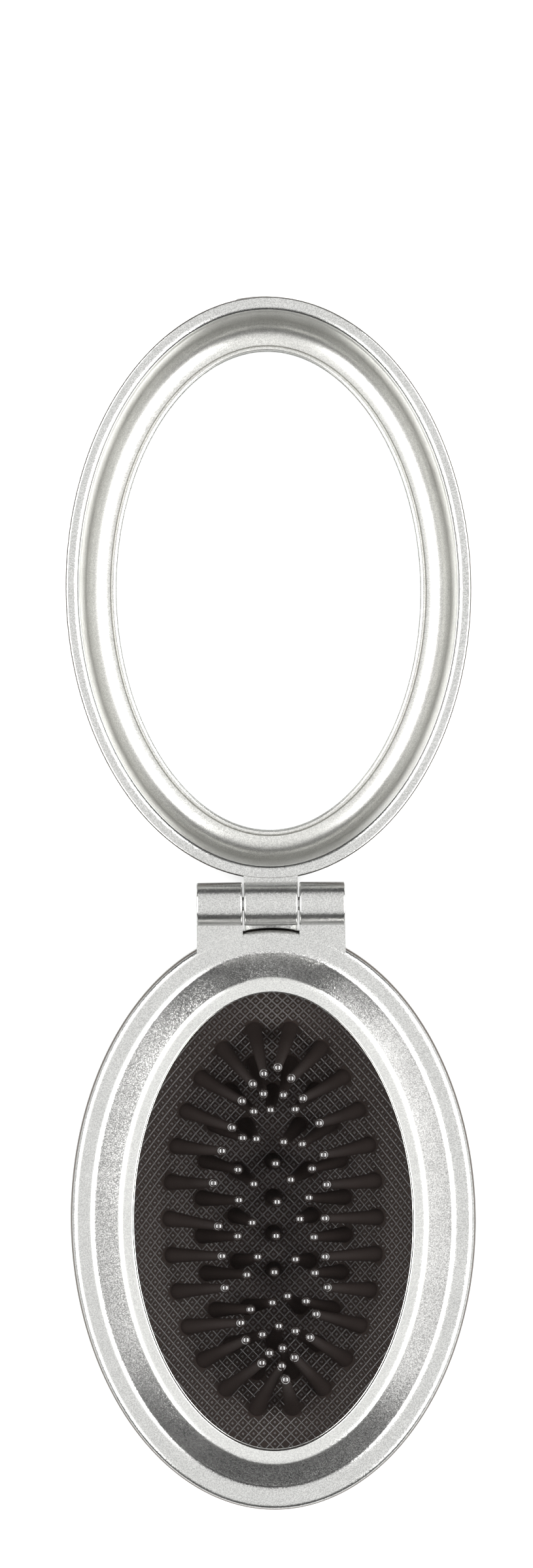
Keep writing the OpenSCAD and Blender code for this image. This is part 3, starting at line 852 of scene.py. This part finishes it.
def silver_lacquer(name, dull, bright, flake, tilt, rough=0.23):
    """Silver lacquer: flakes of a size in millimetres vary the colour from dull to bright and
    tilt the normal, and the roughness varies a little above the given one."""
    material, tree, shader = new_material(name, Metallic=1.0, Coat_Weight=0.2, Coat_Roughness=0.12)
    flakes = place_group(tree, FLAKES, Size_mm=flake, Tilt=tilt)
    grain = place_group(tree, GRAIN, Size_mm=0.35)
    # painted shade: where the edge mark is, the colour turns dark brown
    edge = new_node(tree, "Attribute", attribute_name="edge")
    mix = new_node(tree, "Mix", data_type="RGBA")
    lacquer, painted_shade = mix.inputs[6], mix.inputs[7]
    painted_shade.default_value = PAINTED_EDGE_SHADE
    ramp(tree, flakes.outputs["Sparkle"], lacquer, dull, bright, 0.1, 0.9)
    ramp(tree, grain.outputs["Mask"], shader.inputs["Roughness"], rough, rough + 0.04)
    wire(tree, (edge.outputs["Fac"], mix.inputs[0]), (mix.outputs[2], shader.inputs["Base Color"]),
         (flakes.outputs["Normal"], shader.inputs["Normal"]))
    return material


def grained_finish(name, dark, light, rough_low, rough_high, bump, size, **fixed):
    """A plain surface: its colour and gloss vary between two ends with the grain, and a low bump
    of a size in millimetres breaks up the highlights."""
    material, tree, shader = new_material(name, **fixed)
    grain = place_group(tree, GRAIN, Size_mm=size)
    ramp(tree, grain.outputs["Mask"], shader.inputs["Base Color"], dark, light)
    ramp(tree, grain.outputs["Height"], shader.inputs["Roughness"], rough_low, rough_high)
    relief = new_node(tree, "Bump")
    relief.inputs["Strength"].default_value = bump
    relief.inputs["Distance"].default_value = RELIEF
    wire(tree, (grain.outputs["Height"], relief.inputs["Height"]),
         (relief.outputs[0], shader.inputs["Normal"]))
    return material

# %% [markdown]
# The casings, the bezel, the ring and the lid's frame are all silver, but their flakes differ: the
# bezel sparkles most, the ring is paler, and the frame is satin, with smooth even bands.

# %% The silver finishes
SILVER = silver_lacquer("silver_lacquer",
                        (0.425, 0.425, 0.415), (0.605, 0.605, 0.59), 0.105, 0.09)
COARSE = silver_lacquer("coarse_silver_lacquer",
                        (0.32, 0.318, 0.31), (0.78, 0.775, 0.76), 0.115, 0.09)
PALE = silver_lacquer("pale_silver_lacquer",
                      (0.535, 0.535, 0.52), (0.675, 0.675, 0.655), 0.10, 0.07)
SATIN = silver_lacquer("satin_silver_lacquer",
                       (0.42, 0.418, 0.400), (0.62, 0.617, 0.592), 0.105, 0.045, 0.31)
print("silver finishes:", SILVER.name, COARSE.name, PALE.name, SATIN.name)

# %% [markdown]
# The black is warm: a brownish rubber that is almost matt, with crests worn smooth, and nylon
# pins whose balls are polished. A strong clear coat gives each ball its two sharp glints.

# %% The other finishes
RUBBER = grained_finish("black_rubber", (0.0155, 0.0114, 0.0098), (0.0190, 0.0141, 0.0122),
                        0.60, 0.70, 0.35, 0.15, Specular_IOR_Level=0.08)
CREST = grained_finish("worn_rubber_crests", (0.0165, 0.0130, 0.0118), (0.0205, 0.0168, 0.0155),
                       0.25, 0.35, 0.2, 0.15, Specular_IOR_Level=0.68)
NYLON = grained_finish("black_nylon", (0.0115, 0.0085, 0.0076), (0.0145, 0.0108, 0.0097),
                       0.50, 0.60, 0.35, 0.25, Specular_IOR_Level=0.10)
BALL_GLOSS = grained_finish("glossy_nylon_balls", (0.0140, 0.0108, 0.0098),
                            (0.0170, 0.0132, 0.0120), 0.08, 0.12, 0.0, 0.5,
                            Specular_IOR_Level=0.25, Coat_Weight=1.0, Coat_Roughness=0.05,
                            Coat_IOR=1.95)
FOAM = grained_finish("white_foam", (0.72, 0.72, 0.70), (0.82, 0.82, 0.80),
                      0.85, 0.95, 0.8, 0.25)
STEEL = grained_finish("hinge_steel", (0.55, 0.55, 0.56), (0.66, 0.66, 0.67),
                       0.18, 0.3, 0.2, 0.08, Metallic=1.0)
MIRROR = grained_finish("mirror_silver", (0.94, 0.95, 0.95), (0.96, 0.97, 0.97),
                        0.006, 0.012, 0.0, 2.0, Metallic=1.0)
print("other finishes:", *(m.name for m in (RUBBER, CREST, NYLON, BALL_GLOSS, FOAM, STEEL, MIRROR)))

# %% [markdown]
# Each piece now gets its finish. Two CAD nodes stay in view, the foam behind the mirror and the
# steel pin of the hinge, and they get theirs in the same way.

# %% Dressing the pieces
def dress(piece, *materials):
    """Gives a piece its finishes, and keeps which face has which."""
    index = np.zeros(len(piece.data.polygons), int)
    piece.data.polygons.foreach_get("material_index", index)
    piece.data.materials.clear()
    for material in materials:
        piece.data.materials.append(material)
    piece.data.polygons.foreach_set("material_index", index)


for piece in [brush_casing, lid_tray, ledge] + hinge_parts + heels:
    dress(piece, SILVER)
dress(sloping_bezel, COARSE)
dress(lid_frame, SATIN)
dress(clamping_ring, PALE)
dress(rubber_dish, RUBBER)
for piece in [ridges_rising, ridges_falling, studs]:
    dress(piece, CREST)
for piece in PINS.values():
    dress(piece, NYLON, BALL_GLOSS)
dress(lid_mirror, MIRROR)
dress(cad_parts["mirror_tape"], FOAM)
dress(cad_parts["hinge_pin"], STEEL)
print("finishes in use:", len(bpy.data.materials))

# %% [markdown]
# The brush lies on white. A backdrop could curve up behind it, but the view is from above, so a
# flat pale sheet does.

# %% The floor
def floor():
    """A large plain sheet with its corner points well outside the view."""
    mesh = bpy.data.meshes.new("floor")
    mesh.from_pydata([(-3, -3, 0), (3, -3, 0), (3, 3, 0), (-3, 3, 0)], [], [(0, 1, 2, 3)])
    sheet = bpy.data.objects.new("floor", mesh)
    bpy.context.scene.collection.objects.link(sheet)
    material, _, shader = new_material("white_floor", Roughness=0.9, Specular_IOR_Level=0.1)
    shader.inputs["Base Color"].default_value = (0.86, 0.86, 0.86, 1)
    mesh.materials.append(material)
    return sheet


print("stage:", floor().name)

# %% [markdown]
# Two large soft lights at the left and right make the bright lines and the balls' glints. A white
# panel overhead is what the mirror shows, and two pale walls light the steep sides of the bands.
# Glowing panels could do this too. Area lights make less noise and stay out of the picture.

# %% The lights
def soft_light(name, place, aim, width, length, radiance, shape="RECTANGLE"):
    """A rectangle or ellipse of light with a given brightness: its power is the brightness times
    its area times pi."""
    light = bpy.data.lights.new(name, "AREA")
    light.shape, light.size, light.size_y = shape, width, length
    fill = math.pi / 4 if shape == "ELLIPSE" else 1.0
    light.energy = radiance * width * length * math.pi * fill
    lamp = bpy.data.objects.new(name, light)
    bpy.context.scene.collection.objects.link(lamp)
    look = (Vector(aim) - Vector(place)).normalized()
    across = Vector((0, 1, 0)).cross(look).normalized()
    turned = Matrix((across, -look.cross(across), -look)).transposed().to_4x4()
    lamp.matrix_world = Matrix.Translation(place) @ turned
    lamp.visible_camera = False
    print(f"{name}: {light.energy:.2f} W")
    return lamp


soft_light("overhead_panel", (0, 0.25, 1.5), (0, 0.25, 0), 1.3, 4.7, 1.05)
soft_light("left_softbox", (-0.771, 0.0, 0.919), (0, 0.0, 0), 0.62, 2.0, 7.5, "ELLIPSE")
soft_light("right_softbox", (0.771, 0.0, 0.919), (0, 0.0, 0), 0.66, 2.1, 8.0, "ELLIPSE")
soft_light("left_wall", (-1.5, 0.05, 0.52), (0, 0.05, 0.52), 0.96, 2.1, 0.70)
soft_light("right_wall", (1.5, -0.05, 0.52), (0, -0.05, 0.52), 0.96, 2.3, 0.93)

world = bpy.data.worlds.new("studio")
world.use_nodes = True
world.node_tree.nodes["Background"].inputs["Color"].default_value = (0.07, 0.07, 0.07, 1)
bpy.context.scene.world = world

# %% [markdown]
# The photograph is taken from straight above. How far the pins' balls and the higher bands spread
# outwards from the middle puts the camera at about 0.7 m, and the lens follows from the frame.

# %% The camera
lens = bpy.data.cameras.new("camera")
lens.sensor_fit, lens.sensor_height, lens.sensor_width = "VERTICAL", 36.0, 36.0
lens.lens = 107.17
lens.clip_start, lens.clip_end = 0.01, 20
camera = bpy.data.objects.new("camera", lens)
bpy.context.scene.collection.objects.link(camera)
camera.location = (-0.00051, 0.01770, 0.7039)
camera.rotation_euler = (0, 0, math.radians(-0.44))
bpy.context.scene.camera = camera
bpy.context.scene.view_settings.view_transform = "Standard"
print(f"camera: {camera.location.z:.3f} m up, {lens.lens:.1f} mm lens")
